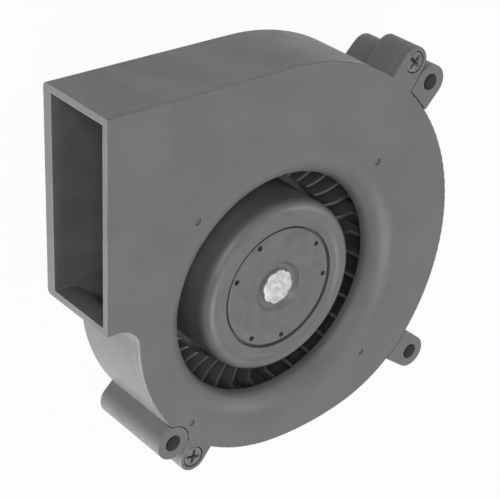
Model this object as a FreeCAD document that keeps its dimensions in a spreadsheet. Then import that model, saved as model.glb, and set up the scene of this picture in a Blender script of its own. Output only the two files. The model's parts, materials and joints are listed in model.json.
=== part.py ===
import FreeCAD, Part
import os
import Sketcher

# A forward-curved DC blower lying on its back.
# The rotor axis is Z and points out of the inlet. The mounting face is the plane z = 0.
# The outlet points to -X. Lengths are in millimetres and angles in degrees.

SIZES = {
    # casing
    "casing_depth": 25.0,
    "cover_sheet": 1.75,
    "cover_skirt": 0.55,
    "wall": 1.9,
    "back_wall": 3.0,
    "joint_gap": 0.1,
    "back_round": 1.2,
    "face_round": 0.4,
    # scroll outline, as tangent arcs that lead on from the heel round to the top wall
    "wheel_gap": 6.4,
    "heel_right": 1.63,
    "heel_up": 1.32,
    "heel_start": 95.5,
    "belly_radius": 73.1,
    "belly_start": 75.7,
    "corner_radius": 39.25,
    "corner_start": 33.3,
    "crown_radius": 55.3,
    "sill_reach": 5.5,
    "sill_run": 2.86,
    "tongue_round": 6.0,
    # mounting pillars, each at an angle about its arc's centre and clear of that arc
    "mount_hole_radius": 2.25,
    "pillar_radius": 4.5,
    "pillar_root": 4.6,
    "upper_hole_angle": 42.66,
    "upper_hole_clear": 5.35,
    "heel_hole_angle": -136.68,
    "heel_hole_clear": 2.72,
    "corner_hole_angle": -41.99,
    "corner_hole_clear": 6.47,
    # cover screws, placed in the same way
    "upper_screw_angle": 51.02,
    "upper_screw_clear": 6.06,
    "heel_screw_angle": -125.77,
    "heel_screw_clear": 3.62,
    "tab_radius": 4.0,
    "tab_root": 4.4,
    "boss_depth": 8.0,
    "screw_radius": 1.5,
    "screw_head_radius": 2.7,
    "screw_head_height": 1.3,
    "screw_head_round": 0.5,
    "screw_head_sink": 0.05,
    "screw_length": 8.0,
    "screw_point": 0.8,
    "screw_point_taper": 0.4,
    "screw_end_gap": 0.3,
    "recess_depth": 1.0,
    "recess_half_width": 0.3,
    "web_reach": 9.0,
    # inlet mouth, a roll of two tangent arcs
    "throat_radius": 30.0,
    "mouth_width": 8.25,
    "mouth_depth": 5.7,
    "mouth_turn": 45.0,
    "pip_edge_gap": 1.35,
    "pip_radius": 1.0,
    "pip_depth": 0.45,
    # lead way on the back
    "lead_angle": 15.0,
    "lead_width": 4.0,
    "lead_depth": 1.6,
    "lead_start": 12.5,
    "lead_slot": 4.5,
    # impeller
    "hub_radius": 23.3,
    "hub_wall": 1.5,
    "hub_top": 22.7,
    "hub_bead": 0.45,
    "hub_round": 3.0,
    "hub_fall_round": 3.8,
    "hub_roof": 1.4,
    "blade_count": 37,
    "blade_inner": 25.1,
    "blade_outer": 37.0,
    "blade_curve": 17.0,
    "blade_tip_lead": -6.8,
    "blade_phase": -2.7,
    "blade_sheet": 0.8,
    "blade_bed": 0.2,
    "blade_top": 17.5,
    "blade_step": 11.0,
    "blade_step_run": 1.2,
    "plate_sheet": 1.1,
    "tip_ring_width": 2.0,
    "tip_rim": 0.4,
    "tip_ring_height": 1.6,
    "floor_gap": 1.2,
    # rotor cup and magnet
    "cup_disc_radius": 16.2,
    "cup_disc_sink": 0.6,
    "cup_sheet": 0.8,
    "cup_groove": 0.5,
    "cup_skirt_end": 7.0,
    "cup_dish_radius": 7.2,
    "cup_dish_floor": 5.4,
    "cup_dish_depth": 0.9,
    "cup_dish_shift": 0.5,
    "cup_hole_ring": 14.55,
    "cup_hole_radius": 0.7,
    "cup_hole_half_angle": 20.0,
    "cup_hole_turn": 17.0,
    "magnet_sheet": 1.8,
    "magnet_start": 7.4,
    "magnet_height": 12.0,
    # shaft and boss
    "shaft_radius": 1.5,
    "shaft_foot": 0.35,
    "shaft_head_sink": 0.1,
    "edge_break": 0.2,
    "boss_gap": 0.35,
    "boss_neck": 3.8,
    "boss_flange": 4.2,
    "boss_head": 1.1,
    "boss_foot_radius": 6.0,
    "boss_lobe_radius": 1.4,
    "boss_lobe_depth": 0.3,
    "boss_lobe_count": 8,
    # bearings, 3 x 8 x 4
    "bearing_radius": 4.0,
    "bearing_width": 4.0,
    "ring_shoulder": 0.7,
    "ball_radius": 0.7,
    "ball_count": 7,
    "ball_play": 0.03,
    "cage_sheet": 0.6,
    "cage_foot": 0.3,
    "cage_crown": 0.45,
    "cage_play": 0.05,
    "rear_bearing_start": 2.4,
    "front_bearing_start": 14.2,
    "shim_sheet": 0.3,
    "shim_step": 0.2,
    "clip_sheet": 0.4,
    "clip_radius": 2.7,
    "clip_groove": 0.35,
    "washer_sheet": 0.25,
    "washer_radius": 3.0,
    "washer_play": 0.1,
    # bearing tube and cap
    "tube_radius": 5.2,
    "tube_start": 1.0,
    "tube_step": 0.5,
    "tube_lip": 0.4,
    "bearing_ledge": 0.5,
    "cap_radius": 6.2,
    "cap_sheet": 0.9,
    "cap_spigot_gap": 0.2,
    "cap_spigot_sheet": 0.7,
    "cap_spigot_height": 0.5,
    # stator
    "air_gap": 0.45,
    "stack_start": 9.2,
    "stack_height": 8.0,
    "core_ring_radius": 8.4,
    "pole_rim": 1.6,
    "arm_width": 4.4,
    "pole_gap": 1.6,
    "bobbin_sheet": 0.6,
    "bobbin_flange": 0.7,
    "bobbin_rise": 2.0,
    "bobbin_edge": 0.2,
    "bobbin_slot_play": 0.1,
    "winding_build": 1.7,
    "winding_fit": 0.15,
    "winding_start": 0.4,
    "winding_round": 1.2,
    "bobbin_slot": 6.0,
    "pin_radius": 0.35,
    "pin_play": 0.1,
    "pin_tail": 0.6,
    # circuit board
    "board_radius": 17.4,
    "board_sheet": 1.0,
    "board_seat": 1.2,
    "board_seat_radius": 8.6,
    "chip_length": 5.0,
    "chip_width": 4.0,
    "chip_height": 1.1,
    "chip_reach": 12.2,
    "sensor_length": 3.4,
    "sensor_width": 1.4,
    "sensor_height": 3.0,
    "sensor_reach": 15.4,
    "capacitor_length": 3.2,
    "capacitor_width": 1.6,
    "capacitor_height": 1.1,
    "capacitor_reach": 12.4,
    "resistor_length": 2.0,
    "resistor_width": 1.2,
    "resistor_height": 0.5,
    "resistor_reach": 12.2,
    "resistor_pitch": 2.2,
}

# Sizes that follow from the ones above, each written once as a formula.
FOLLOWS = {
    "face": "dims.casing_depth",
    "plate_under": "dims.casing_depth - dims.cover_sheet",
    "parting": "dims.casing_depth - dims.cover_sheet - dims.cover_skirt",
    "lap": "dims.wall / 2",
    "wheel_rim": "dims.blade_outer + dims.tip_rim",
    "heel_radius": "follow.wheel_rim + dims.wheel_gap + dims.wall",
    "belly_x": "dims.heel_right + (follow.heel_radius - dims.belly_radius) * cos(dims.heel_start)",
    "belly_y": "dims.heel_up - (follow.heel_radius - dims.belly_radius) * sin(dims.heel_start)",
    "corner_x": "follow.belly_x + (dims.belly_radius - dims.corner_radius) * cos(dims.belly_start)",
    "corner_y": "follow.belly_y - (dims.belly_radius - dims.corner_radius) * sin(dims.belly_start)",
    "crown_x": "follow.corner_x + (dims.corner_radius - dims.crown_radius) * cos(dims.corner_start)",
    "crown_y": "follow.corner_y - (dims.corner_radius - dims.crown_radius) * sin(dims.corner_start)",
    "top_reach": "follow.crown_y + dims.crown_radius",
    "tongue_y": "dims.sill_reach - dims.tongue_round",
    "tongue_x": "dims.heel_right - sqrt((follow.heel_radius + dims.tongue_round)^2"
                " - (follow.tongue_y - dims.heel_up)^2)",
    "outlet_reach": "dims.sill_run - follow.tongue_x",
    "lip_height": "dims.casing_depth - dims.mouth_depth",
    "mouth_radius": "dims.throat_radius + dims.mouth_width",
    "mouth_share": "sin(dims.mouth_turn) + cos(dims.mouth_turn) - 1",
    "outer_roll": "(dims.mouth_width * cos(dims.mouth_turn)"
                  " - dims.mouth_depth * (1 - sin(dims.mouth_turn))) / follow.mouth_share",
    "inner_roll": "(dims.mouth_depth * sin(dims.mouth_turn)"
                  " - dims.mouth_width * (1 - cos(dims.mouth_turn))) / follow.mouth_share",
    "plate_start": "dims.back_wall + dims.floor_gap",
    "plate_top": "dims.back_wall + dims.floor_gap + dims.plate_sheet",
    "ring_inner": "follow.wheel_rim - dims.tip_ring_width",
    "cup_top": "dims.hub_top - dims.cup_disc_sink",
    "dish_floor": "follow.cup_top - dims.cup_dish_depth",
    "dish_under": "follow.dish_floor - dims.cup_sheet",
    "cup_radius": "dims.hub_radius - dims.hub_wall",
    "shoulder_top": "dims.hub_top - dims.hub_roof",
    "magnet_outer": "follow.cup_radius - dims.cup_sheet",
    "magnet_inner": "follow.magnet_outer - dims.magnet_sheet",
    "core_radius": "follow.magnet_inner - dims.air_gap",
    "stack_end": "dims.stack_start + dims.stack_height",
    "tube_end": "dims.front_bearing_start + dims.bearing_width + dims.tube_lip",
    "boss_start": "follow.tube_end + dims.boss_gap",
    "board_start": "dims.back_wall + dims.board_seat",
    "board_top": "dims.back_wall + dims.board_seat + dims.board_sheet",
    "ball_ring": "(dims.bearing_radius + dims.shaft_radius) / 2",
    "inner_shoulder": "dims.shaft_radius + dims.ring_shoulder",
    "outer_shoulder": "dims.bearing_radius - dims.ring_shoulder",
    "rear_middle": "dims.rear_bearing_start + dims.bearing_width / 2",
    "front_middle": "dims.front_bearing_start + dims.bearing_width / 2",
}

doc = FreeCAD.newDocument("blower")


def named_sheet(name, entries):
    sheet = doc.addObject("Spreadsheet::Sheet", name)
    for row, (alias, entry) in enumerate(entries.items(), 1):
        sheet.set("A%d" % row, alias)
        sheet.set("B%d" % row, str(entry) if isinstance(entry, (int, float)) else "=" + entry)
        sheet.setAlias("B%d" % row, alias)
        sheet.recompute()
    doc.recompute()
    return sheet


dims = named_sheet("dims", SIZES)
follow = named_sheet("follow", FOLLOWS)


def cells(owner, formulas):
    # Each sketch has a sheet with one cell for each of its coordinates,
    # so that it is drawn and bound by the same formula.
    sheet = doc.getObject(owner + "_sheet") or doc.addObject("Spreadsheet::Sheet", owner + "_sheet")
    first = 1 + len(sheet.getUsedCells())
    spots = ["A%d" % (first + i) for i in range(len(formulas))]
    for spot, formula in zip(spots, formulas):
        sheet.set(spot, "=" + formula)
    sheet.recompute()
    return [("%s.%s" % (sheet.Name, spot), float(sheet.get(spot))) for spot in spots]


def size(alias, sheet=dims):
    return float(sheet.get(alias))


def origin_item(body, role):
    return next(item for item in body.Origin.OriginFeatures if item.Role == role)


def new_body(name):
    body = doc.addObject("PartDesign::Body", name)
    body.Label = name
    return body


def new_sketch(body, name, height=None, plane="XY_Plane"):
    sketch = body.newObject("Sketcher::SketchObject", name)
    sketch.AttachmentSupport = (origin_item(body, plane), "")
    sketch.MapMode = "FlatFace"
    if height:
        sketch.setExpression("AttachmentOffset.Base.z", height)
    return sketch


def hold(sketch, constraint, cell):
    index = sketch.addConstraint(constraint)
    sketch.setExpression("Constraints[%d]" % index, cell)


def hold_point(sketch, geometry, end, across, up):
    (across_cell, across_value), (up_cell, up_value) = cells(sketch.Name, [across, up])
    if across == "0":
        sketch.addConstraint(Sketcher.Constraint("PointOnObject", geometry, end, -2))
    else:
        hold(sketch, Sketcher.Constraint("DistanceX", -1, 1, geometry, end, across_value), across_cell)
    if up == "0":
        sketch.addConstraint(Sketcher.Constraint("PointOnObject", geometry, end, -1))
    else:
        hold(sketch, Sketcher.Constraint("DistanceY", -1, 1, geometry, end, up_value), up_cell)


def draw_circle(sketch, radius, across="0", up="0"):
    (radius_cell, radius_value), (_, x), (_, y) = cells(sketch.Name, [radius, across, up])
    circle = Part.Circle(FreeCAD.Vector(x, y, 0), FreeCAD.Vector(0, 0, 1), radius_value)
    geometry = sketch.addGeometry(circle)
    hold(sketch, Sketcher.Constraint("Radius", geometry, radius_value), radius_cell)
    hold_point(sketch, geometry, 3, across, up)


def arc_between(start, end, radius):
    # The arc runs anticlockwise from start to end and is less than half a turn.
    chord = end - start
    rise = max(radius * radius - chord.Length * chord.Length / 4, 0) ** 0.5
    side = FreeCAD.Vector(-chord.y, chord.x, 0).normalize()
    centre = (start + end) / 2 + side * rise
    middle = centre - side * radius
    return Part.Arc(start, middle, end)


def draw_outline(sketch, corners):
    # A corner is (across, up), or (across, up, radius, turn) where an arc leads on from it.
    values = cells(sketch.Name, [corner[0] for corner in corners] + [corner[1] for corner in corners])
    count = len(corners)
    points = [FreeCAD.Vector(values[i][1], values[i + count][1], 0) for i in range(count)]
    ends = []
    for i, corner in enumerate(corners):
        start, end = points[i], points[(i + 1) % count]
        if len(corner) == 2:
            geometry = sketch.addGeometry(Part.LineSegment(start, end))
            ends.append((geometry, 1, 2))
            continue
        radius_cell, radius = cells(sketch.Name, [corner[2]])[0]
        if corner[3] == "left":
            geometry = sketch.addGeometry(arc_between(start, end, radius))
            ends.append((geometry, 1, 2))
        else:
            geometry = sketch.addGeometry(arc_between(end, start, radius))
            ends.append((geometry, 2, 1))
        hold(sketch, Sketcher.Constraint("Radius", geometry, radius), radius_cell)
    for i, corner in enumerate(corners):
        geometry, first, last = ends[i]
        after, after_first, after_last = ends[(i + 1) % count]
        sketch.addConstraint(Sketcher.Constraint("Coincident", geometry, last, after, after_first))
        hold_point(sketch, geometry, first, corner[0], corner[1])


def pad(body, sketch, length, name, down=False):
    feature = body.newObject("PartDesign::Pad", name)
    feature.Profile = sketch
    feature.setExpression("Length", length)
    feature.Reversed = down
    doc.recompute()
    return feature


def pocket(body, sketch, length, name, up=False):
    before = body.Shape.Volume
    feature = body.newObject("PartDesign::Pocket", name)
    feature.Profile = sketch
    feature.setExpression("Length", length)
    feature.Reversed = up
    doc.recompute()
    if body.Shape.Volume > before - 1e-6:
        raise ValueError(name + " cuts nothing")
    return feature


def revolve(body, corners, name, kind="Revolution"):
    sketch = new_sketch(body, name + "_profile", plane="XZ_Plane")
    draw_outline(sketch, corners)
    feature = body.newObject("PartDesign::" + kind, name)
    feature.Profile = sketch
    feature.ReferenceAxis = (sketch, ["V_Axis"])
    feature.Angle = 360
    doc.recompute()
    return feature


def turned(name, corners):
    body = new_body(name)
    revolve(body, corners, name + "_turned")
    return body


def repeat(body, feature, count, name):
    pattern = body.newObject("PartDesign::PolarPattern", name)
    pattern.Originals = [feature]
    pattern.Axis = (origin_item(body, "Z_Axis"), [""])
    pattern.Angle = 360
    if isinstance(count, str):
        pattern.setExpression("Occurrences", count)
    else:
        pattern.Occurrences = count
    body.Tip = pattern
    doc.recompute()
    return pattern


def round_edges(body, base, radius, name, wanted):
    edges = ["Edge%d" % (i + 1) for i, edge in enumerate(base.Shape.Edges) if wanted(edge)]
    feature = body.newObject("PartDesign::Fillet", name)
    feature.Base = (base, edges)
    feature.setExpression("Radius", radius)
    doc.recompute()
    return feature


def minus(formula):
    return "0 - (%s)" % formula


# Each arc of the scroll, as its centre and its radius.
ARCS = {
    "heel": ("dims.heel_right", "dims.heel_up", "follow.heel_radius"),
    "belly": ("follow.belly_x", "follow.belly_y", "dims.belly_radius"),
    "corner": ("follow.corner_x", "follow.corner_y", "dims.corner_radius"),
    "crown": ("follow.crown_x", "follow.crown_y", "dims.crown_radius"),
}


def scroll_corners(inset, outlet):
    # Anticlockwise from the top of the outlet, every wall moved inwards by inset.
    share = "(follow.heel_radius - (%s)) / (follow.heel_radius + dims.tongue_round)" % inset

    def on_arc(arc, start):
        x, y, radius = ARCS[arc]
        return ("%s + (%s - (%s)) * cos(dims.%s)" % (x, radius, inset, start),
                "%s - (%s - (%s)) * sin(dims.%s)" % (y, radius, inset, start))

    top = "follow.top_reach - (%s)" % inset
    sill = "dims.sill_reach + (%s)" % inset
    return [
        (minus(outlet), top),
        (minus(outlet), sill),
        ("follow.tongue_x", sill, "dims.tongue_round + (%s)" % inset, "right"),
        ("dims.heel_right + %s * (follow.tongue_x - dims.heel_right)" % share,
         "dims.heel_up + %s * (follow.tongue_y - dims.heel_up)" % share,
         "follow.heel_radius - (%s)" % inset, "left"),
        on_arc("heel", "heel_start") + ("dims.belly_radius - (%s)" % inset, "left"),
        on_arc("belly", "belly_start") + ("dims.corner_radius - (%s)" % inset, "left"),
        on_arc("corner", "corner_start") + ("dims.crown_radius - (%s)" % inset, "left"),
        ("follow.crown_x", top),
    ]


def lug_corners(spot, radius, root):
    # A round end at the spot, with a web that runs back towards the rotor axis.
    x, y = spot
    length = "sqrt((%s)^2 + (%s)^2)" % (x, y)
    ux, uy = "(%s) / %s" % (x, length), "(%s) / %s" % (y, length)
    left = ("%s - (%s) * %s" % (x, radius, uy), "%s + (%s) * %s" % (y, radius, ux))
    right = ("%s + (%s) * %s" % (x, radius, uy), "%s - (%s) * %s" % (y, radius, ux))
    end = ("%s + (%s) * %s" % (x, radius, ux), "%s + (%s) * %s" % (y, radius, uy))
    back = ("%s - dims.web_reach * %s" % (x, ux), "%s - dims.web_reach * %s" % (y, uy))
    return [
        right + (radius, "left"),
        end + (radius, "left"),
        left,
        ("%s - (%s) * %s" % (back[0], root, uy), "%s + (%s) * %s" % (back[1], root, ux)),
        ("%s + (%s) * %s" % (back[0], root, uy), "%s - (%s) * %s" % (back[1], root, ux)),
    ]


def outside(arc, name):
    # A spot that stands clear of an arc of the scroll, at an angle about its centre.
    x, y, radius = ARCS[arc]
    reach = "(%s + dims.%s_clear)" % (radius, name)
    spots = cells("spots", ["%s + %s * cos(dims.%s_angle)" % (x, reach, name),
                            "%s + %s * sin(dims.%s_angle)" % (y, reach, name)])
    return tuple(spot for spot, _ in spots)


MOUNTS = {
    "upper": outside("crown", "upper_hole"),
    "heel": outside("heel", "heel_hole"),
    "corner": outside("corner", "corner_hole"),
}
SCREWS = {
    "upper": outside("crown", "upper_screw"),
    "heel": outside("heel", "heel_screw"),
}


def on_ray(reach, side, angle):
    # A spot at a distance along a ray from the axis, and to its left.
    return ("(%s) * cos(%s) - (%s) * sin(%s)" % (reach, angle, side, angle),
            "(%s) * sin(%s) + (%s) * cos(%s)" % (reach, angle, side, angle))


def radial_box(start, end, half_width, angle):
    # A rectangle that lies along a ray from the axis at the given angle.
    return [on_ray(start, minus(half_width), angle), on_ray(end, minus(half_width), angle),
            on_ray(end, half_width, angle), on_ray(start, half_width, angle)]


def on_level(edge, height):
    return all(abs(vertex.Z - height) < 1e-4 for vertex in edge.Vertexes) \
        and abs(edge.CenterOfMass.z - height) < 1e-4


def at_outlet(edge):
    return abs(edge.CenterOfMass.x + size("outlet_reach", follow)) < 1e-3


def rear_housing():
    body = new_body("rear_housing")
    sketch = new_sketch(body, "housing_outline")
    draw_outline(sketch, scroll_corners("0", "follow.outlet_reach"))
    shell = pad(body, sketch, "follow.parting", "housing_block")
    round_edges(body, shell, "dims.back_round", "housing_back_round",
                lambda edge: on_level(edge, 0) and not at_outlet(edge))
    for name, spot in MOUNTS.items():
        sketch = new_sketch(body, name + "_pillar_outline")
        draw_outline(sketch, lug_corners(spot, "dims.pillar_radius", "dims.pillar_root"))
        pad(body, sketch, "follow.face", name + "_pillar")
    for name, spot in SCREWS.items():
        sketch = new_sketch(body, name + "_boss_outline", "follow.parting")
        draw_outline(sketch, lug_corners(spot, "dims.tab_radius", "dims.tab_root"))
        pad(body, sketch, "dims.boss_depth", name + "_boss", down=True)
    sketch = new_sketch(body, "cover_seat_outline", "follow.face")
    draw_outline(sketch, scroll_corners(minus("dims.joint_gap"), "follow.outlet_reach + 1"))
    pocket(body, sketch, "follow.face - follow.parting", "cover_seat")
    for name, spot in SCREWS.items():
        sketch = new_sketch(body, name + "_tab_seat_outline", "follow.face")
        draw_outline(sketch, lug_corners(spot, "dims.tab_radius + dims.joint_gap",
                                         "dims.tab_root + dims.joint_gap"))
        pocket(body, sketch, "follow.face - follow.parting", name + "_tab_seat")
    for name, spot in MOUNTS.items():
        sketch = new_sketch(body, name + "_pillar_end_outline", "follow.parting")
        draw_circle(sketch, "dims.pillar_radius", *spot)
        pad(body, sketch, "follow.face - follow.parting", name + "_pillar_end")
    sketch = new_sketch(body, "housing_lip_outline", "follow.parting")
    draw_outline(sketch, scroll_corners("follow.lap + dims.joint_gap", "follow.outlet_reach"))
    pad(body, sketch, "dims.cover_skirt", "housing_lip")
    sketch = new_sketch(body, "air_way_outline", "follow.plate_under")
    draw_outline(sketch, scroll_corners("dims.wall", "follow.outlet_reach + 1"))
    pocket(body, sketch, "follow.plate_under - dims.back_wall", "air_way")
    sketch = new_sketch(body, "board_seat_outline", "dims.back_wall")
    draw_circle(sketch, "dims.board_seat_radius")
    pad(body, sketch, "dims.board_seat", "board_seat")
    sketch = new_sketch(body, "tube_bore_outline", "follow.board_start")
    draw_circle(sketch, "dims.tube_radius + dims.tube_step")
    pocket(body, sketch, "follow.board_start + 1", "tube_bore")
    sketch = new_sketch(body, "cap_seat_outline")
    draw_circle(sketch, "dims.cap_radius")
    pocket(body, sketch, "dims.tube_start", "cap_seat", up=True)
    for name, spot in MOUNTS.items():
        sketch = new_sketch(body, name + "_hole_outline", "follow.face")
        draw_circle(sketch, "dims.mount_hole_radius", *spot)
        pocket(body, sketch, "follow.face + 1", name + "_hole")
    for name, spot in SCREWS.items():
        sketch = new_sketch(body, name + "_pilot_outline", "follow.parting")
        draw_circle(sketch, "dims.screw_radius", *spot)
        pocket(body, sketch, "dims.screw_length + dims.screw_head_height + dims.screw_end_gap"
                             " - dims.cover_sheet - dims.cover_skirt", name + "_pilot")
    sketch = new_sketch(body, "lead_way_outline")
    draw_outline(sketch, radial_box("dims.lead_start", "dims.crown_radius + 5",
                                    "dims.lead_width / 2", minus("dims.lead_angle")))
    pocket(body, sketch, "dims.lead_depth", "lead_way", up=True)
    sketch = new_sketch(body, "lead_slot_outline")
    draw_outline(sketch, radial_box("dims.lead_start", "dims.lead_start + dims.lead_slot",
                                    "dims.lead_width / 2", minus("dims.lead_angle")))
    pocket(body, sketch, "dims.back_wall + 0.1", "lead_slot", up=True)
    return body


def inlet_cover():
    body = new_body("inlet_cover")
    sketch = new_sketch(body, "cover_outline", "follow.parting")
    draw_outline(sketch, scroll_corners("0", "follow.outlet_reach"))
    plate = pad(body, sketch, "follow.face - follow.parting", "cover_plate")
    for name, spot in SCREWS.items():
        sketch = new_sketch(body, name + "_tab_outline", "follow.parting")
        draw_outline(sketch, lug_corners(spot, "dims.tab_radius", "dims.tab_root"))
        plate = pad(body, sketch, "follow.face - follow.parting", name + "_tab")
    round_edges(body, plate, "dims.face_round", "cover_face_round",
                lambda edge: on_level(edge, size("face", follow)) and not at_outlet(edge))
    sketch = new_sketch(body, "cover_hollow_outline", "follow.parting")
    draw_outline(sketch, scroll_corners("follow.lap", "follow.outlet_reach + 1"))
    pocket(body, sketch, "dims.cover_skirt", "cover_hollow", up=True)
    for name, spot in MOUNTS.items():
        if name == "heel":
            sketch = new_sketch(body, name + "_notch_outline", "follow.face")
            draw_circle(sketch, "dims.pillar_radius + 3 * dims.joint_gap", *spot)
            pocket(body, sketch, "follow.face - follow.parting + 1", name + "_notch")
    for name, spot in SCREWS.items():
        sketch = new_sketch(body, name + "_screw_hole_outline", "follow.face")
        draw_circle(sketch, "dims.screw_radius + 2 * dims.joint_gap", *spot)
        pocket(body, sketch, "follow.face - follow.parting + 1", name + "_screw_hole")
        sketch = new_sketch(body, name + "_head_seat_outline", "follow.face")
        draw_circle(sketch, "dims.screw_head_radius + 2 * dims.joint_gap", *spot)
        pocket(body, sketch, "dims.screw_head_height", name + "_head_seat")
    sketch = new_sketch(body, "mouth_hole_outline", "follow.face")
    draw_circle(sketch, "follow.mouth_radius")
    pocket(body, sketch, "follow.face - follow.parting + 1", "mouth_hole")

    def on_roll(depth):
        # Where the two arcs of the roll meet, at this depth below its surface.
        reach = "(follow.inner_roll - %s)" % depth
        return ("dims.throat_radius + follow.inner_roll - %s * sin(dims.mouth_turn)" % reach,
                "follow.lip_height + %s * cos(dims.mouth_turn)" % reach)

    revolve(body, [
        ("follow.mouth_radius", "follow.plate_under"),
        ("follow.mouth_radius", "follow.face", "follow.outer_roll", "left"),
        on_roll("0") + ("follow.inner_roll", "left"),
        ("dims.throat_radius", "follow.lip_height"),
        ("dims.throat_radius + dims.cover_sheet", "follow.lip_height",
         "follow.inner_roll - dims.cover_sheet", "right"),
        on_roll("dims.cover_sheet") + ("follow.outer_roll - dims.cover_sheet", "right"),
    ], "inlet_mouth")
    sketch = new_sketch(body, "pip_outline", "follow.face")
    draw_circle(sketch, "dims.pip_radius", *on_ray("follow.mouth_radius + dims.pip_edge_gap", "0", "45"))
    pip = pocket(body, sketch, "dims.pip_depth", "pip")
    repeat(body, pip, 4, "pips")
    return body


def cover_screws():
    top = "(follow.face - dims.screw_head_sink)"
    seat = "(follow.face - dims.screw_head_height)"
    body = turned("cover_screw", [
        ("0", seat + " - dims.screw_length"),
        ("dims.screw_radius - dims.screw_point_taper", seat + " - dims.screw_length"),
        ("dims.screw_radius", seat + " - dims.screw_length + dims.screw_point"),
        ("dims.screw_radius", seat),
        ("dims.screw_head_radius", seat),
        ("dims.screw_head_radius", top + " - dims.screw_head_round"),
        ("dims.screw_head_radius - dims.screw_head_round", top),
        ("0", top),
    ])
    sketch = new_sketch(body, "recess_outline", top)
    arm, half = "dims.screw_head_radius * 0.6", "dims.recess_half_width"
    draw_outline(sketch, [
        (arm, minus(half)), (arm, half), (half, half), (half, arm), (minus(half), arm),
        (minus(half), half), (minus(arm), half), (minus(arm), minus(half)),
        (minus(half), minus(half)), (minus(half), minus(arm)), (half, minus(arm)), (half, minus(half)),
    ])
    pocket(body, sketch, "dims.recess_depth", "cross_recess")
    return body


def impeller():
    groove = "dims.cup_disc_radius + dims.cup_groove"
    crest = "dims.hub_top + dims.hub_bead"
    crest_reach = "dims.hub_radius - dims.hub_round"
    fall = "sqrt(dims.hub_fall_round^2 - (dims.hub_fall_round - dims.hub_bead)^2)"
    body = new_body("impeller")
    revolve(body, [
        (groove, "follow.shoulder_top"),
        ("follow.cup_radius", "follow.shoulder_top"),
        ("follow.cup_radius", "follow.plate_start"),
        ("follow.wheel_rim", "follow.plate_start"),
        ("follow.wheel_rim", "follow.plate_top"),
        ("dims.hub_radius", "follow.plate_top"),
        ("dims.hub_radius", crest + " - dims.hub_round", "dims.hub_round", "left"),
        (crest_reach, crest, "dims.hub_fall_round", "left"),
        (crest_reach + " - " + fall, "dims.hub_top"),
        (groove, "dims.hub_top"),
    ], "hub")
    sketch = new_sketch(body, "blade_outline", "follow.plate_top - dims.blade_bed")
    half, root = "dims.blade_sheet / 2", "dims.blade_phase"
    tip = "(dims.blade_phase + dims.blade_tip_lead)"
    draw_outline(sketch, [
        on_ray("dims.blade_inner", minus(half), root) + ("dims.blade_curve", "left"),
        on_ray("dims.blade_outer", minus(half), tip),
        on_ray("dims.blade_outer", half, tip) + ("dims.blade_curve + dims.blade_sheet", "right"),
        on_ray("dims.blade_inner", half, root),
    ])
    blade = pad(body, sketch, "dims.blade_top - follow.plate_top + dims.blade_bed", "blade")
    repeat(body, blade, "dims.blade_count", "blades")
    clear = "(dims.hub_radius + dims.blade_inner) / 2"
    revolve(body, [
        (clear, "dims.blade_step"),
        ("follow.ring_inner - dims.blade_step_run", "dims.blade_step"),
        ("follow.ring_inner", "dims.blade_top"),
        ("follow.ring_inner", "dims.blade_top + 1"),
        (clear, "dims.blade_top + 1"),
    ], "blade_steps", "Groove")
    sketch = new_sketch(body, "tip_ring_outline", "dims.blade_top - dims.tip_ring_height")
    draw_circle(sketch, "follow.wheel_rim")
    draw_circle(sketch, "follow.ring_inner")
    pad(body, sketch, "dims.tip_ring_height", "tip_ring")
    return body


def rotor_cup():
    inner = "dims.cup_sheet"
    body = new_body("rotor_cup")
    revolve(body, [
        ("dims.boss_neck", "follow.dish_under"),
        ("dims.cup_dish_floor + dims.cup_dish_shift", "follow.dish_under"),
        ("dims.cup_dish_radius + dims.cup_dish_shift", "follow.cup_top - " + inner),
        ("dims.cup_disc_radius - " + inner, "follow.cup_top - " + inner),
        ("dims.cup_disc_radius - " + inner, "follow.shoulder_top - " + inner),
        ("follow.cup_radius - " + inner, "follow.shoulder_top - " + inner),
        ("follow.cup_radius - " + inner, "dims.cup_skirt_end"),
        ("follow.cup_radius", "dims.cup_skirt_end"),
        ("follow.cup_radius", "follow.shoulder_top"),
        ("dims.cup_disc_radius", "follow.shoulder_top"),
        ("dims.cup_disc_radius", "follow.cup_top"),
        ("dims.cup_dish_radius", "follow.cup_top"),
        ("dims.cup_dish_floor", "follow.dish_floor"),
        ("dims.boss_neck", "follow.dish_floor"),
    ], "cup")
    sketch = new_sketch(body, "cup_hole_outline", "follow.cup_top")
    for turn in ("dims.cup_hole_turn + dims.cup_hole_half_angle",
                 "dims.cup_hole_turn - dims.cup_hole_half_angle"):
        draw_circle(sketch, "dims.cup_hole_radius", *on_ray("dims.cup_hole_ring", "0", turn))
    holes = pocket(body, sketch, "dims.cup_sheet + 0.1", "cup_hole_pair")
    repeat(body, holes, 3, "cup_holes")
    return body


def ring(name, inner, outer, start, end):
    return turned(name, [(inner, start), (outer, start), (outer, end), (inner, end)])


def shaft():
    clip_end = "(dims.rear_bearing_start - dims.shim_sheet)"
    start = "(%s - dims.clip_sheet - dims.shaft_foot)" % clip_end
    top = "(follow.dish_floor + dims.boss_head - dims.shaft_head_sink)"
    neck = "dims.shaft_radius - dims.clip_groove"
    return turned("shaft", [
        ("0", start),
        ("dims.shaft_radius - dims.edge_break", start),
        ("dims.shaft_radius", start + " + dims.edge_break"),
        ("dims.shaft_radius", clip_end + " - dims.clip_sheet"),
        (neck, clip_end + " - dims.clip_sheet"),
        (neck, clip_end),
        ("dims.shaft_radius", clip_end),
        ("dims.shaft_radius", top + " - dims.edge_break"),
        ("dims.shaft_radius - dims.edge_break", top),
        ("0", top),
    ])


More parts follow.
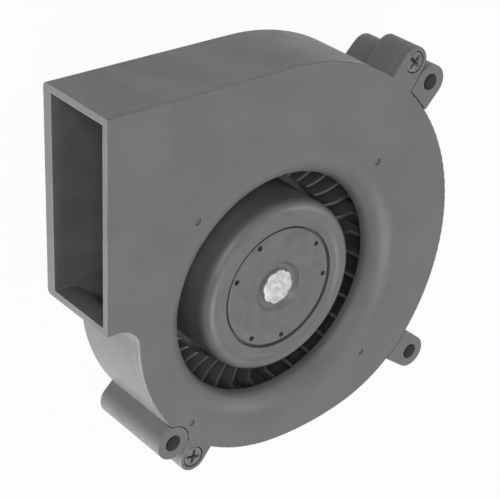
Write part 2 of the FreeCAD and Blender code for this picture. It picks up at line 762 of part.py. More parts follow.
def retaining_clip():
    end = "(dims.rear_bearing_start - dims.shim_sheet)"
    body = ring("retaining_clip", "dims.shaft_radius - dims.clip_groove", "dims.clip_radius",
                end + " - dims.clip_sheet", end)
    sketch = new_sketch(body, "clip_mouth_outline", end)
    draw_outline(sketch, [("0", minus("dims.clip_radius / 3")),
                          ("dims.clip_radius + 1", minus("dims.clip_radius / 3")),
                          ("dims.clip_radius + 1", "dims.clip_radius / 3"),
                          ("0", "dims.clip_radius / 3")])
    pocket(body, sketch, "dims.clip_sheet + 0.1", "clip_mouth")
    return body


def preload_washer():
    seat = "(dims.front_bearing_start + dims.bearing_width)"
    inner = "dims.shaft_radius + dims.washer_play"
    return turned("preload_washer", [
        (inner, seat),
        ("dims.washer_radius", "follow.boss_start - dims.washer_sheet"),
        ("dims.washer_radius", "follow.boss_start"),
        (inner, seat + " + dims.washer_sheet"),
    ])


def shaft_boss():
    head = "follow.dish_floor + dims.boss_head"
    body = new_body("shaft_boss")
    revolve(body, [
        ("dims.shaft_radius", "follow.boss_start"),
        ("dims.boss_foot_radius", "follow.boss_start"),
        ("dims.boss_foot_radius", "follow.dish_under"),
        ("dims.boss_neck", "follow.dish_under"),
        ("dims.boss_neck", "follow.dish_floor"),
        ("dims.boss_flange", "follow.dish_floor"),
        ("dims.boss_flange", head + " - dims.edge_break"),
        ("dims.boss_flange - dims.edge_break", head),
        ("dims.shaft_radius", head),
    ], "boss")
    sketch = new_sketch(body, "lobe_outline", head)
    draw_circle(sketch, "dims.boss_lobe_radius",
                "dims.boss_flange + dims.boss_lobe_radius - dims.boss_lobe_depth")
    lobe = pocket(body, sketch, "dims.boss_head", "lobe")
    repeat(body, lobe, "dims.boss_lobe_count", "lobes")
    return body


def bearing(side):
    start = "dims.%s_bearing_start" % side
    middle = "follow.%s_middle" % side
    end = "%s + dims.bearing_width" % start
    race = "dims.ball_radius + dims.ball_play"

    def half_race(shoulder):
        return "sqrt((%s)^2 - (%s - follow.ball_ring)^2)" % (race, shoulder)

    outer_half, inner_half = half_race("follow.outer_shoulder"), half_race("follow.inner_shoulder")
    turned(side + "_bearing_outer_ring", [
        ("follow.outer_shoulder", start),
        ("dims.bearing_radius", start),
        ("dims.bearing_radius", end),
        ("follow.outer_shoulder", end),
        ("follow.outer_shoulder", middle + " + " + outer_half, race, "right"),
        ("follow.outer_shoulder", middle + " - " + outer_half),
    ])
    turned(side + "_bearing_inner_ring", [
        ("dims.shaft_radius", start),
        ("follow.inner_shoulder", start),
        ("follow.inner_shoulder", middle + " - " + inner_half, race, "right"),
        ("follow.inner_shoulder", middle + " + " + inner_half),
        ("follow.inner_shoulder", end),
        ("dims.shaft_radius", end),
    ])
    cage = ring(side + "_bearing_cage",
                "follow.ball_ring - dims.cage_sheet / 2", "follow.ball_ring + dims.cage_sheet / 2",
                middle + " - dims.cage_foot", middle + " + dims.ball_radius + dims.cage_crown")
    sketch = new_sketch(cage, side + "_cage_pocket_outline", plane="XZ_Plane")
    draw_circle(sketch, "dims.ball_radius + dims.cage_play", "0", middle)
    gap = pocket(cage, sketch, "dims.bearing_radius", side + "_cage_pocket")
    repeat(cage, gap, "dims.ball_count", side + "_cage_pockets")
    reach = size("ball_ring", follow)
    ball = Part.makeSphere(size("ball_radius"), FreeCAD.Vector(0, reach, size(side + "_middle", follow)))
    count = int(size("ball_count"))
    group(side + "_bearing_balls", [(ball, 360 * i / count, FreeCAD.Vector()) for i in range(count)])


def group(name, copies):
    # One node that holds several equal solids, each turned about the axis and moved.
    solids = []
    for shape, angle, shift in copies:
        solid = shape.copy()
        solid.rotate(FreeCAD.Vector(), FreeCAD.Vector(0, 0, 1), angle)
        solid.translate(shift)
        solids.append(solid)
    item = doc.addObject("Part::Feature", name)
    item.Label = name
    item.Shape = Part.makeCompound(solids)
    return item


def bearing_tube():
    foot = "dims.tube_radius + dims.tube_step"
    step = "dims.stack_start - dims.bobbin_sheet"
    waist = "dims.bearing_radius - dims.bearing_ledge"
    rear_end = "dims.rear_bearing_start + dims.bearing_width"
    return turned("bearing_tube", [
        ("dims.bearing_radius", "dims.tube_start"),
        (foot, "dims.tube_start"),
        (foot, step),
        ("dims.tube_radius", step),
        ("dims.tube_radius", "follow.tube_end"),
        ("dims.bearing_radius", "follow.tube_end"),
        ("dims.bearing_radius", "dims.front_bearing_start"),
        (waist, "dims.front_bearing_start"),
        (waist, rear_end),
        ("dims.bearing_radius", rear_end),
    ])


def rear_bearing_cap():
    spigot = "dims.bearing_radius - dims.cap_spigot_gap"
    return turned("rear_bearing_cap", [
        ("0", "0"),
        ("dims.cap_radius", "0"),
        ("dims.cap_radius", "dims.cap_sheet"),
        (spigot, "dims.cap_sheet"),
        (spigot, "dims.cap_sheet + dims.cap_spigot_height"),
        (spigot + " - dims.cap_spigot_sheet", "dims.cap_sheet + dims.cap_spigot_height"),
        (spigot + " - dims.cap_spigot_sheet", "dims.cap_sheet"),
        ("0", "dims.cap_sheet"),
    ])


def slot_corners(inner, outer, half):
    def beside(radius):
        return "sqrt((%s)^2 - (%s)^2)" % (radius, half)
    return [
        (beside(inner), half),
        (beside(outer), half, outer, "left"),
        (half, beside(outer)),
        (half, beside(inner), inner, "right"),
    ]


SLOT_FLOOR = "follow.core_radius - dims.pole_rim"


def stator_core():
    body = new_body("stator_core")
    sketch = new_sketch(body, "core_outline", "dims.stack_start")
    draw_circle(sketch, "follow.core_radius")
    draw_circle(sketch, "dims.tube_radius")
    pad(body, sketch, "dims.stack_height", "core_stack")
    sketch = new_sketch(body, "slot_outline", "follow.stack_end")
    draw_outline(sketch, slot_corners("dims.core_ring_radius", SLOT_FLOOR, "dims.arm_width / 2"))
    slot = pocket(body, sketch, "dims.stack_height + 1", "slot")
    repeat(body, slot, 4, "slots")
    sketch = new_sketch(body, "pole_gap_outline", "follow.stack_end")
    draw_outline(sketch, radial_box(SLOT_FLOOR + " - 0.5", "follow.core_radius + 1",
                                    "dims.pole_gap / 2", "45"))
    gap = pocket(body, sketch, "dims.stack_height + 1", "pole_gap")
    repeat(body, gap, 4, "pole_gaps")
    return body


FLANGE_OUTER = "(%s - dims.bobbin_edge)" % SLOT_FLOOR
FLANGE_INNER = "(%s - dims.bobbin_edge - dims.bobbin_flange)" % SLOT_FLOOR


def insulator(name, stack_face, down):
    body = new_body(name)
    sketch = new_sketch(body, name + "_sheet_outline", stack_face)
    draw_circle(sketch, FLANGE_OUTER)
    draw_circle(sketch, "dims.tube_radius")
    pad(body, sketch, "dims.bobbin_sheet", name + "_sheet", down)
    sketch = new_sketch(body, name + "_slot_outline", stack_face)
    draw_outline(sketch, slot_corners("dims.core_ring_radius", SLOT_FLOOR + " + 1",
                                      "dims.arm_width / 2 + dims.bobbin_slot_play"))
    slot = pocket(body, sketch, "dims.bobbin_sheet + 1", name + "_slot", not down)
    repeat(body, slot, 4, name + "_slots")
    sketch = new_sketch(body, name + "_flange_outline", stack_face)
    draw_circle(sketch, FLANGE_OUTER)
    draw_circle(sketch, FLANGE_INNER)
    pad(body, sketch, "dims.bobbin_sheet + dims.bobbin_rise", name + "_flange", down)
    sketch = new_sketch(body, name + "_window_outline", stack_face)
    draw_outline(sketch, radial_box(FLANGE_INNER + " - 1", "follow.core_radius",
                                    "dims.bobbin_slot / 2", "45"))
    window = pocket(body, sketch, "dims.bobbin_sheet + dims.bobbin_rise + 1", name + "_window", not down)
    repeat(body, window, 4, name + "_windows")
    sketch = new_sketch(body, name + "_collar_outline", stack_face)
    draw_circle(sketch, "dims.core_ring_radius")
    draw_circle(sketch, "dims.core_ring_radius - dims.bobbin_flange")
    pad(body, sketch, "dims.bobbin_sheet + dims.bobbin_rise", name + "_collar", down)
    return body


def winding(number):
    build = "dims.arm_width / 2 + dims.winding_fit + dims.winding_build"
    hole = "dims.arm_width / 2 + dims.winding_fit"
    low = "dims.stack_start - dims.bobbin_sheet"
    high = "follow.stack_end + dims.bobbin_sheet"
    bottom, top = low + " - dims.winding_build", high + " + dims.winding_build"
    start = "dims.core_ring_radius + dims.winding_start"
    reach = "sqrt(%s^2 - (%s)^2) - dims.winding_fit" % (FLANGE_INNER, build)
    bend = "dims.winding_round"
    body = new_body("winding_%d" % number)
    sketch = new_sketch(body, "winding_%d_outline" % number, start, "YZ_Plane")
    draw_outline(sketch, [
        (minus(build) + " + " + bend, bottom),
        (build + " - " + bend, bottom, bend, "left"),
        (build, bottom + " + " + bend),
        (build, top + " - " + bend, bend, "left"),
        (build + " - " + bend, top),
        (minus(build) + " + " + bend, top, bend, "left"),
        (minus(build), top + " - " + bend),
        (minus(build), bottom + " + " + bend, bend, "left"),
    ])
    draw_outline(sketch, [(minus(hole), low), (hole, low), (hole, high), (minus(hole), high)])
    pad(body, sketch, "%s - (%s)" % (reach, start), "winding_%d_coil" % number)
    body.Placement.Rotation = FreeCAD.Rotation(FreeCAD.Vector(0, 0, 1), 90 * (number - 1))
    return body


def circuit_board():
    body = new_body("circuit_board")
    sketch = new_sketch(body, "board_outline", "follow.board_start")
    draw_circle(sketch, "dims.board_radius")
    draw_circle(sketch, "dims.tube_radius + dims.tube_step + dims.joint_gap")
    for angle in ("90", "180", "270"):
        draw_circle(sketch, "dims.pin_radius + dims.pin_play", *pin_spot(angle))
    pad(body, sketch, "dims.board_sheet", "board_sheet")
    return body


def pin_spot(angle):
    middle = "(%s + %s) / 2" % (FLANGE_INNER, FLANGE_OUTER)
    return "%s * cos(%s)" % (middle, angle), "%s * sin(%s)" % (middle, angle)


def terminal_pins():
    low = "follow.board_start - dims.pin_tail"
    high = "dims.stack_start - dims.bobbin_sheet - dims.bobbin_rise"
    (_, start), (_, end), (_, reach) = cells("pin_spot", [low, high, pin_spot("0")[0]])
    pin = Part.makeCylinder(size("pin_radius"), end - start, FreeCAD.Vector(reach, 0, start))
    group("terminal_pins", [(pin, angle, FreeCAD.Vector()) for angle in (90, 180, 270)])


def board_piece(name, angle):
    body = new_body(name)
    sketch = new_sketch(body, name + "_outline", "follow.board_top")
    across, along = "dims.%s_width / 2" % name.split("_")[-1], "dims.%s_length / 2" % name.split("_")[-1]
    reach = "dims.%s_reach" % name.split("_")[-1]
    draw_outline(sketch, [
        (reach + " - " + across, minus(along)), (reach + " + " + across, minus(along)),
        (reach + " + " + across, along), (reach + " - " + across, along),
    ])
    pad(body, sketch, "dims.%s_height" % name.split("_")[-1], name + "_block")
    body.Placement.Rotation = FreeCAD.Rotation(FreeCAD.Vector(0, 0, 1), angle)
    return body


def chip_resistors():
    block = Part.makeBox(size("resistor_width"), size("resistor_length"), size("resistor_height"),
                         FreeCAD.Vector(size("resistor_reach") - size("resistor_width") / 2,
                                        -size("resistor_length") / 2, size("board_top", follow)))
    pitch = size("resistor_pitch")
    group("chip_resistors", [(block, 135, FreeCAD.Vector(-i * pitch * 0.7071, -i * pitch * 0.7071, 0))
                             for i in (-1, 0, 1)])


rear_housing()
inlet_cover()
single_screw = cover_screws()
spots = [[value for _, value in cells("screw_spots", spot)] for spot in SCREWS.values()]
group("cover_screws", [(single_screw.Shape, 0, FreeCAD.Vector(x, y, 0)) for x, y in spots])
impeller()
rotor_cup()
ring("magnet_ring", "follow.magnet_inner", "follow.magnet_outer",
     "dims.magnet_start", "dims.magnet_start + dims.magnet_height")
shaft()
shaft_boss()
preload_washer()
ring("shim_washer", "dims.shaft_radius", "dims.clip_radius - dims.shim_step",
     "dims.rear_bearing_start - dims.shim_sheet", "dims.rear_bearing_start")
retaining_clip()
bearing("front")
bearing("rear")
bearing_tube()
rear_bearing_cap()
stator_core()
insulator("front_insulator", "follow.stack_end", False)
insulator("rear_insulator", "dims.stack_start", True)
for number in (1, 2, 3, 4):
    winding(number)
circuit_board()
terminal_pins()
board_piece("driver_chip", 225)
board_piece("hall_sensor", 45)
board_piece("filter_capacitor", 315)
chip_resistors()

doc.recompute()
for item in doc.Objects:
    if "Invalid" in item.State or "Error" in item.State:
        raise ValueError("%s did not recompute: %s" % (item.Name, item.State))

pieces = [item for item in doc.Objects
          if item.TypeId in ("PartDesign::Body", "Part::Feature") and item is not single_screw]
os.makedirs("parts", exist_ok=True)
for item in pieces:
    if item.Shape.isNull() or not item.Shape.isValid():
        raise ValueError(item.Label + " has no valid shape")
for item in pieces:
    item.Shape.exportStep("parts/%s.step" % item.Label)
    print("%-26s %2d solid(s) %10.2f mm3" % (item.Label, len(item.Shape.Solids), item.Shape.Volume))
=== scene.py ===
import bpy
import bmesh
import json
import math
from mathutils import Matrix, Vector, noise


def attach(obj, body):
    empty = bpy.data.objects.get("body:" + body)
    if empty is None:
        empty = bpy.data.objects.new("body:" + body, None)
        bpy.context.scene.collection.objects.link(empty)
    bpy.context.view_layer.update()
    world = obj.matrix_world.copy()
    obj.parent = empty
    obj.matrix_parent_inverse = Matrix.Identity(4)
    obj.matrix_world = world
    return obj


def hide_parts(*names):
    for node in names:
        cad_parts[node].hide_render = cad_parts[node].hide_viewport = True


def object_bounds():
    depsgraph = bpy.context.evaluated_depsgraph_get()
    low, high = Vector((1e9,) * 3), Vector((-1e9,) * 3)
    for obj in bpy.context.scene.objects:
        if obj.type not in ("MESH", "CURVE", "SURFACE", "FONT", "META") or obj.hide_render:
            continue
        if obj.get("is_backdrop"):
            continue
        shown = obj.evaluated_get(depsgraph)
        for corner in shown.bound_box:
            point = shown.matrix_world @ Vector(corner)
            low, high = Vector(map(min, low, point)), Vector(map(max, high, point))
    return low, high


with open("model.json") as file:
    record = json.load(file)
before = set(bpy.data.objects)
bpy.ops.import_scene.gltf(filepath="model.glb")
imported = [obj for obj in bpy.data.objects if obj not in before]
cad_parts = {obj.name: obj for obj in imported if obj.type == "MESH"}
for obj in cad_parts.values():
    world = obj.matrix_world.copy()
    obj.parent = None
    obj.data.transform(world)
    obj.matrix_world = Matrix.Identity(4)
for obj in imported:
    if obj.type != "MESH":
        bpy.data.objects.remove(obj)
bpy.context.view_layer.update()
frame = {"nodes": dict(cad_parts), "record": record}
nodes = frame["nodes"]
mm = 0.001
print("frame loaded:", len(nodes), "nodes")


# camera

cameraView = {
    "place": (-0.22650, 0.20206, 0.28050),
    "aim": (-0.00150, 0.00646, 0.01250),  # the point in the middle of the picture
    "roll": 122.891,  # degrees, because the blower stands on its edge in the picture
    "lens": 115.62,  # mm, as the sensor's width is
    "sensor": 36,
    "near": 10 * mm,
}


def addCamera(view):
    place = Vector(view["place"])
    look = (Vector(view["aim"]) - place).to_track_quat("-Z", "Y").to_matrix().to_4x4()
    roll = Matrix.Rotation(math.radians(view["roll"]), 4, "Z")
    camera = bpy.data.objects.new("camera", bpy.data.cameras.new("camera"))
    camera.data.lens = view["lens"]
    camera.data.sensor_width = view["sensor"]
    camera.data.clip_start = view["near"]
    camera.matrix_world = Matrix.Translation(place) @ look @ roll
    bpy.context.collection.objects.link(camera)
    bpy.context.scene.camera = camera


addCamera(cameraView)
bpy.context.scene.view_settings.view_transform = "Standard"
print("camera placed")


# shader nodes, where a source is a (node, output) pair

def setInputs(node, inputs):
    for name, value in inputs.items():
        node.inputs[name.replace("_", " ")].default_value = value


def addNode(tree, kind, settings=None, **inputs):
    node = tree.nodes.new(kind)
    for name, value in (settings or {}).items():
        setattr(node, name, value)
    setInputs(node, inputs)
    return node


def feed(tree, source, target, inputName):
    tree.links.new(source[0].outputs[source[1]], target.inputs[inputName])


def objectPlace(tree):
    return addNode(tree, "ShaderNodeTexCoord"), "Object"


def calculate(tree, operation, *values):
    # each value is a source or a plain number
    node = addNode(tree, "ShaderNodeMath", {"operation": operation})
    for index, value in enumerate(values):
        if isinstance(value, tuple):
            feed(tree, value, node, index)
        else:
            node.inputs[index].default_value = value
    return node, 0


def spread(tree, source, low, high, toLow=0.0, toHigh=1.0):
    node = addNode(tree, "ShaderNodeMapRange", {"interpolation_type": "SMOOTHSTEP"},
                   From_Min=low, From_Max=high, To_Min=toLow, To_Max=toHigh)
    feed(tree, source, node, "Value")
    return node, 0


def mixColour(tree, factor, first, second):
    # first and second are colours or sources
    node = addNode(tree, "ShaderNodeMix", {"data_type": "RGBA"})
    feed(tree, factor, node, 0)
    for index, value in ((6, first), (7, second)):
        if isinstance(value[0], (int, float)):
            node.inputs[index].default_value = (*value, 1)
        else:
            feed(tree, value, node, index)
    return node, 2


# node groups

skinPattern = {
    "grainDetail": 3,
    "grainRoughness": 0.6,
    "mottleDetail": 5,
    "mottleRoughness": 0.62,
    "mottleWarp": 0.4,
    "mottleRange": (0.32, 0.68),
    "speckScale": 0.35,  # of the grain's scale
    "speckRange": (0.10, 0.22),
    "edgeRange": (0.86, 0.99),  # cosine between the rounded and the true normal
    "wearAndHighlightRange": (0.25, 0.6),  # of the mottle, so that the lighter edge, part wear and part painted highlight, shows in places
}
ringPattern = {
    "ringDetail": 2,
    "stainDetail": 5,
    "stainRoughness": 0.6,
    "stainRange": (0.3, 0.7),
}
bevelSamples = 6


def newGroup(name, inputs, outputs):
    group = bpy.data.node_groups.new(name, "ShaderNodeTree")
    for labels, side in ((inputs, "INPUT"), (outputs, "OUTPUT")):
        for label in labels:
            group.interface.new_socket(label, in_out=side, socket_type="NodeSocketFloat")
    return group, group.nodes.new("NodeGroupInput"), group.nodes.new("NodeGroupOutput")


def buildMouldGroup(pattern):
    # moulded plastic: a fine grain from the tool, slow mottling of the skin, and lighter edges that are
    # partly rubbed wear and partly a painted highlight on rounded edges
    group, start, end = newGroup("mouldedSkin", ["Grain Per Metre", "Mottle Per Metre", "Edge Width"],
                                 ["Grain", "Mottle", "Edge", "Speck"])
    grain = addNode(group, "ShaderNodeTexNoise", Detail=pattern["grainDetail"],
                    Roughness=pattern["grainRoughness"])
    mottle = addNode(group, "ShaderNodeTexNoise", Detail=pattern["mottleDetail"],
                     Roughness=pattern["mottleRoughness"], Distortion=pattern["mottleWarp"])
    speck = addNode(group, "ShaderNodeTexVoronoi", {"feature": "F1"}, Randomness=1.0)
    place = objectPlace(group)
    for texture in (grain, mottle, speck):
        feed(group, place, texture, "Vector")
    feed(group, (start, "Grain Per Metre"), grain, "Scale")
    feed(group, (start, "Mottle Per Metre"), mottle, "Scale")
    speckScale = calculate(group, "MULTIPLY", (start, "Grain Per Metre"), pattern["speckScale"])
    feed(group, speckScale, speck, "Scale")
    rounded = addNode(group, "ShaderNodeBevel", {"samples": bevelSamples})
    feed(group, (start, "Edge Width"), rounded, "Radius")
    same = addNode(group, "ShaderNodeVectorMath", {"operation": "DOT_PRODUCT"})
    feed(group, (rounded, "Normal"), same, 0)
    feed(group, (addNode(group, "ShaderNodeNewGeometry"), "Normal"), same, 1)
    # edge mask: edges lighter in colour, partly wear and partly a painted highlight
    edge = spread(group, (same, "Value"), *pattern["edgeRange"], 1.0, 0.0)
    wearAndHighlightPatches = spread(group, (mottle, 0), *pattern["wearAndHighlightRange"])
    feed(group, (grain, 0), end, "Grain")
    feed(group, spread(group, (mottle, 0), *pattern["mottleRange"]), end, "Mottle")
    feed(group, calculate(group, "MULTIPLY", edge, wearAndHighlightPatches), end, "Edge")
    feed(group, spread(group, (speck, "Distance"), *pattern["speckRange"], 1.0, 0.0), end, "Speck")
    return group


def buildTurnedGroup(pattern):
    # turned or drawn metal: fine rings round the rotor axis, and a slow unevenness
    group, start, end = newGroup("turnedRings", ["Rings Per Metre", "Stain Per Metre"], ["Rings", "Stain"])
    place = objectPlace(group)
    split = addNode(group, "ShaderNodeSeparateXYZ")
    feed(group, place, split, "Vector")
    squares = [calculate(group, "MULTIPLY", (split, axis), (split, axis)) for axis in ("X", "Y")]
    reach = calculate(group, "SQRT", calculate(group, "ADD", *squares))
    both = addNode(group, "ShaderNodeCombineXYZ")
    feed(group, reach, both, "X")
    feed(group, (split, "Z"), both, "Y")
    rings = addNode(group, "ShaderNodeTexNoise", {"noise_dimensions": "2D"}, Detail=pattern["ringDetail"])
    feed(group, (both, "Vector"), rings, "Vector")
    feed(group, (start, "Rings Per Metre"), rings, "Scale")
    stain = addNode(group, "ShaderNodeTexNoise", Detail=pattern["stainDetail"],
                    Roughness=pattern["stainRoughness"])
    feed(group, place, stain, "Vector")
    feed(group, (start, "Stain Per Metre"), stain, "Scale")
    feed(group, (rings, 0), end, "Rings")
    feed(group, spread(group, (stain, 0), *pattern["stainRange"]), end, "Stain")
    return group


groups = {"mouldedSkin": buildMouldGroup(skinPattern), "turnedRings": buildTurnedGroup(ringPattern)}


def placeGroup(tree, name, **inputs):
    return addNode(tree, "ShaderNodeGroup", {"node_tree": groups[name]}, **inputs)


# materials

def startMaterial(name, **inputs):
    # the inputs are the same all over the surface, and go to the shader's own sockets
    material = bpy.data.materials.new(name)
    material.use_nodes = True
    shader = material.node_tree.nodes["Principled BSDF"]
    setInputs(shader, inputs)
    return material, material.node_tree, shader


def bump(tree, height, shader, depth, rounding=0.0):
    node = addNode(tree, "ShaderNodeBump", Strength=1.0, Distance=depth)
    feed(tree, height, node, "Height")
    if rounding:
        soft = addNode(tree, "ShaderNodeBevel", {"samples": bevelSamples}, Radius=rounding)
        feed(tree, (soft, "Normal"), node, "Normal")
    feed(tree, (node, "Normal"), shader, "Normal")


casingLook = {
    "plain": (0.118, 0.118, 0.116),
    "pale": (0.136, 0.135, 0.132),  # slow mottling of the skin
    "rubbedAndHighlit": (0.24, 0.24, 0.235),  # worn edges, and also a painted highlight along rounded edges
    "rubbedAndHighlitShare": 0.7,
    "speck": (0.20, 0.20, 0.195),  # glass fibre at the surface
    "speckShare": 0.25,
    "grainPerMetre": 2600,
    "grainDepth": 0.03 * mm,
    "mottlePerMetre": 70,
    "edgeWidth": 0.6 * mm,
    "rounding": 0.25 * mm,
    "roughness": (0.40, 0.52),
}
rotorLook = dict(casingLook, plain=(0.118, 0.117, 0.115), pale=(0.138, 0.137, 0.134), mottlePerMetre=120,
                 edgeWidth=0.3 * mm, rounding=0.1 * mm, roughness=(0.36, 0.46))
capLook = dict(casingLook, plain=(0.07, 0.07, 0.069), pale=(0.09, 0.09, 0.088))
nylonLook = dict(casingLook, plain=(0.62, 0.60, 0.52), pale=(0.68, 0.66, 0.58), rubbedAndHighlit=(0.72, 0.70, 0.64),
                 speck=(0.66, 0.64, 0.56), roughness=(0.38, 0.5))
cageLook = dict(nylonLook, plain=(0.50, 0.45, 0.34), pale=(0.56, 0.51, 0.40))
chipLook = dict(casingLook, plain=(0.022, 0.022, 0.024), pale=(0.032, 0.032, 0.034),
                rubbedAndHighlit=(0.06, 0.06, 0.06), speck=(0.03, 0.03, 0.03), roughness=(0.45, 0.6))
ceramicLook = dict(casingLook, plain=(0.42, 0.30, 0.18), pale=(0.50, 0.37, 0.23),
                   rubbedAndHighlit=(0.5, 0.4, 0.3), speck=(0.4, 0.3, 0.2), roughness=(0.45, 0.6))
magnetLook = dict(casingLook, plain=(0.045, 0.043, 0.042), pale=(0.060, 0.058, 0.056),
                  roughness=(0.6, 0.75))


def mouldedPlastic(name, look):
    material, tree, shader = startMaterial(name)
    skin = placeGroup(tree, "mouldedSkin", Grain_Per_Metre=look["grainPerMetre"],
                      Mottle_Per_Metre=look["mottlePerMetre"], Edge_Width=look["edgeWidth"])
    speckMask = calculate(tree, "MULTIPLY", (skin, "Speck"), look["speckShare"])
    edgeWearAndHighlightMask = calculate(tree, "MULTIPLY", (skin, "Edge"), look["rubbedAndHighlitShare"])
    colour = mixColour(tree, (skin, "Mottle"), look["plain"], look["pale"])
    colour = mixColour(tree, speckMask, colour, look["speck"])
    # edges painted lighter: partly rubbed wear, partly a painted highlight along rounded edges
    colour = mixColour(tree, edgeWearAndHighlightMask, colour, look["rubbedAndHighlit"])
    feed(tree, colour, shader, "Base Color")
    feed(tree, spread(tree, (skin, "Mottle"), 0, 1, *look["roughness"]), shader, "Roughness")
    bump(tree, (skin, "Grain"), shader, look["grainDepth"], look["rounding"])
    return material


cupLook = {
    "plain": (0.114, 0.112, 0.112),  # painted, so it isn't metallic
    "worn": (0.142, 0.140, 0.140),
    "metallic": 0.0,
    "ringsPerMetre": 2500,
    "ringDepth": 0.012 * mm,
    "stainPerMetre": 260,
    "rounding": 0.08 * mm,
    "roughness": (0.34, 0.46),
}
screwLook = dict(cupLook, plain=(0.125, 0.125, 0.122), worn=(0.17, 0.17, 0.165), metallic=0.3,
                 roughness=(0.35, 0.5))
steelLook = dict(cupLook, plain=(0.62, 0.62, 0.62), worn=(0.50, 0.50, 0.49), metallic=1.0,
                 roughness=(0.14, 0.24))
springLook = dict(steelLook, plain=(0.42, 0.42, 0.43), worn=(0.34, 0.34, 0.34), roughness=(0.28, 0.42))
coreLook = dict(steelLook, plain=(0.30, 0.30, 0.31), worn=(0.20, 0.20, 0.20), roughness=(0.4, 0.55))
tubeLook = dict(steelLook, plain=(0.62, 0.46, 0.20), worn=(0.45, 0.33, 0.15), roughness=(0.22, 0.35))
pinLook = dict(steelLook, plain=(0.60, 0.60, 0.59), worn=(0.45, 0.45, 0.44), roughness=(0.25, 0.4))


def turnedMetal(name, look):
    material, tree, shader = startMaterial(name, Metallic=look["metallic"])
    rings = placeGroup(tree, "turnedRings", Rings_Per_Metre=look["ringsPerMetre"],
                       Stain_Per_Metre=look["stainPerMetre"])
    feed(tree, mixColour(tree, (rings, "Stain"), look["plain"], look["worn"]), shader, "Base Color")
    feed(tree, spread(tree, (rings, "Stain"), 0, 1, *look["roughness"]), shader, "Roughness")
    bump(tree, (rings, "Rings"), shader, look["ringDepth"], look["rounding"])
    return material


bossLook = {
    "plain": (0.60, 0.60, 0.59),
    "dull": (0.38, 0.38, 0.37),
    "metallic": 0.75,
    "grainPerMetre": 3500,
    "grainDepth": 0.08 * mm,
    "mottlePerMetre": 700,
    "edgeWidth": 0.1 * mm,
    "rounding": 0.1 * mm,
    "roughness": (0.38, 0.55),
}


def castMetal(name, look):
    material, tree, shader = startMaterial(name, Metallic=look["metallic"])
    skin = placeGroup(tree, "mouldedSkin", Grain_Per_Metre=look["grainPerMetre"],
                      Mottle_Per_Metre=look["mottlePerMetre"], Edge_Width=look["edgeWidth"])
    feed(tree, mixColour(tree, (skin, "Mottle"), look["plain"], look["dull"]), shader, "Base Color")
    feed(tree, spread(tree, (skin, "Mottle"), 0, 1, *look["roughness"]), shader, "Roughness")
    bump(tree, (skin, "Grain"), shader, look["grainDepth"], look["rounding"])
    return material


wireLook = {
    "copper": (0.62, 0.24, 0.09),
    "shade": (0.40, 0.13, 0.05),
    "metallic": 0.85,
    "coat": 0.4,
    "roughness": 0.3,
    "ringScale": 130,
    "ringWarp": 0.6,
    "wireDepth": 0.12 * mm,
}


def woundWire(name, look):
    # enamelled wire, drawn as rings round the rotor axis
    material, tree, shader = startMaterial(name, Metallic=look["metallic"], Coat_Weight=look["coat"],
                                           Roughness=look["roughness"])
    turns = addNode(tree, "ShaderNodeTexWave", {"wave_type": "RINGS", "rings_direction": "Z"},
                    Scale=look["ringScale"], Distortion=look["ringWarp"], Detail=1)
    feed(tree, objectPlace(tree), turns, "Vector")
    feed(tree, mixColour(tree, (turns, "Fac"), look["shade"], look["copper"]), shader, "Base Color")
    bump(tree, (turns, "Fac"), shader, look["wireDepth"])
    return material


boardLook = {
    "mask": (0.025, 0.115, 0.045),
    "trace": (0.045, 0.185, 0.070),
    "coat": 0.3,
    "roughness": 0.35,
    "cellsPerMetre": 420,
    "traceRange": (0.12, 0.16),
    "traceDepth": 0.03 * mm,
}


def boardLaminate(name, look):
    # solder mask over raised copper areas with gaps between them
    material, tree, shader = startMaterial(name, Coat_Weight=look["coat"], Roughness=look["roughness"])
    cells = addNode(tree, "ShaderNodeTexVoronoi", {"feature": "DISTANCE_TO_EDGE"},
                    Scale=look["cellsPerMetre"])
    feed(tree, objectPlace(tree), cells, "Vector")
    traces = spread(tree, (cells, "Distance"), *look["traceRange"])
    feed(tree, mixColour(tree, traces, look["mask"], look["trace"]), shader, "Base Color")
    bump(tree, traces, shader, look["traceDepth"])
    return material


materials = {
    "casing_plastic": mouldedPlastic("casingPlastic", casingLook),
    "rotor_plastic": mouldedPlastic("rotorPlastic", rotorLook),
    "cap_plastic": mouldedPlastic("capPlastic", capLook),
    "cup_steel": turnedMetal("cupSteel", cupLook),
    "screw_steel": turnedMetal("screwSteel", screwLook),
    "boss_metal": castMetal("bossMetal", bossLook),
    "bearing_steel": turnedMetal("bearingSteel", steelLook),
    "spring_steel": turnedMetal("springSteel", springLook),
    "cage_nylon": mouldedPlastic("cageNylon", cageLook),
    "insulator_nylon": mouldedPlastic("insulatorNylon", nylonLook),
    "bonded_magnet": mouldedPlastic("bondedMagnet", magnetLook),
    "tube_brass": turnedMetal("tubeBrass", tubeLook),
    "core_steel": turnedMetal("coreSteel", coreLook),
    "winding_copper": woundWire("windingCopper", wireLook),
    "board_laminate": boardLaminate("boardLaminate", boardLook),
    "chip_black": mouldedPlastic("chipBlack", chipLook),
    "chip_ceramic": mouldedPlastic("chipCeramic", ceramicLook),
    "pin_tin": turnedMetal("pinTin", pinLook),
}
print("materials built:", len(materials))


def dressNodes():
    for part in frame["record"]["subparts"]:
        mesh = nodes[part["node"]].data
        mesh.materials.clear()
        mesh.materials.append(materials[part["material_slot"]])


dressNodes()
print("nodes dressed")


# pieces that stand for nodes

def sideAngles(sides):
    return [2 * math.pi * side / sides for side in range(sides)]


def newPiece(name, build):
    mesh = bpy.data.meshes.new(name)
    build.to_mesh(mesh)
    build.free()
    for face in mesh.polygons:
        face.use_smooth = True
    piece = bpy.data.objects.new(name, mesh)
    bpy.context.collection.objects.link(piece)
    return piece


def keepCreases(piece, degrees):
    creases = piece.modifiers.new("creases", "EDGE_SPLIT")
    creases.split_angle = math.radians(degrees)


def standFor(piece, node, body, slot):
    piece.data.materials.clear()
    piece.data.materials.append(materials[slot])
    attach(piece, body)
    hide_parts(node)


# cover screws

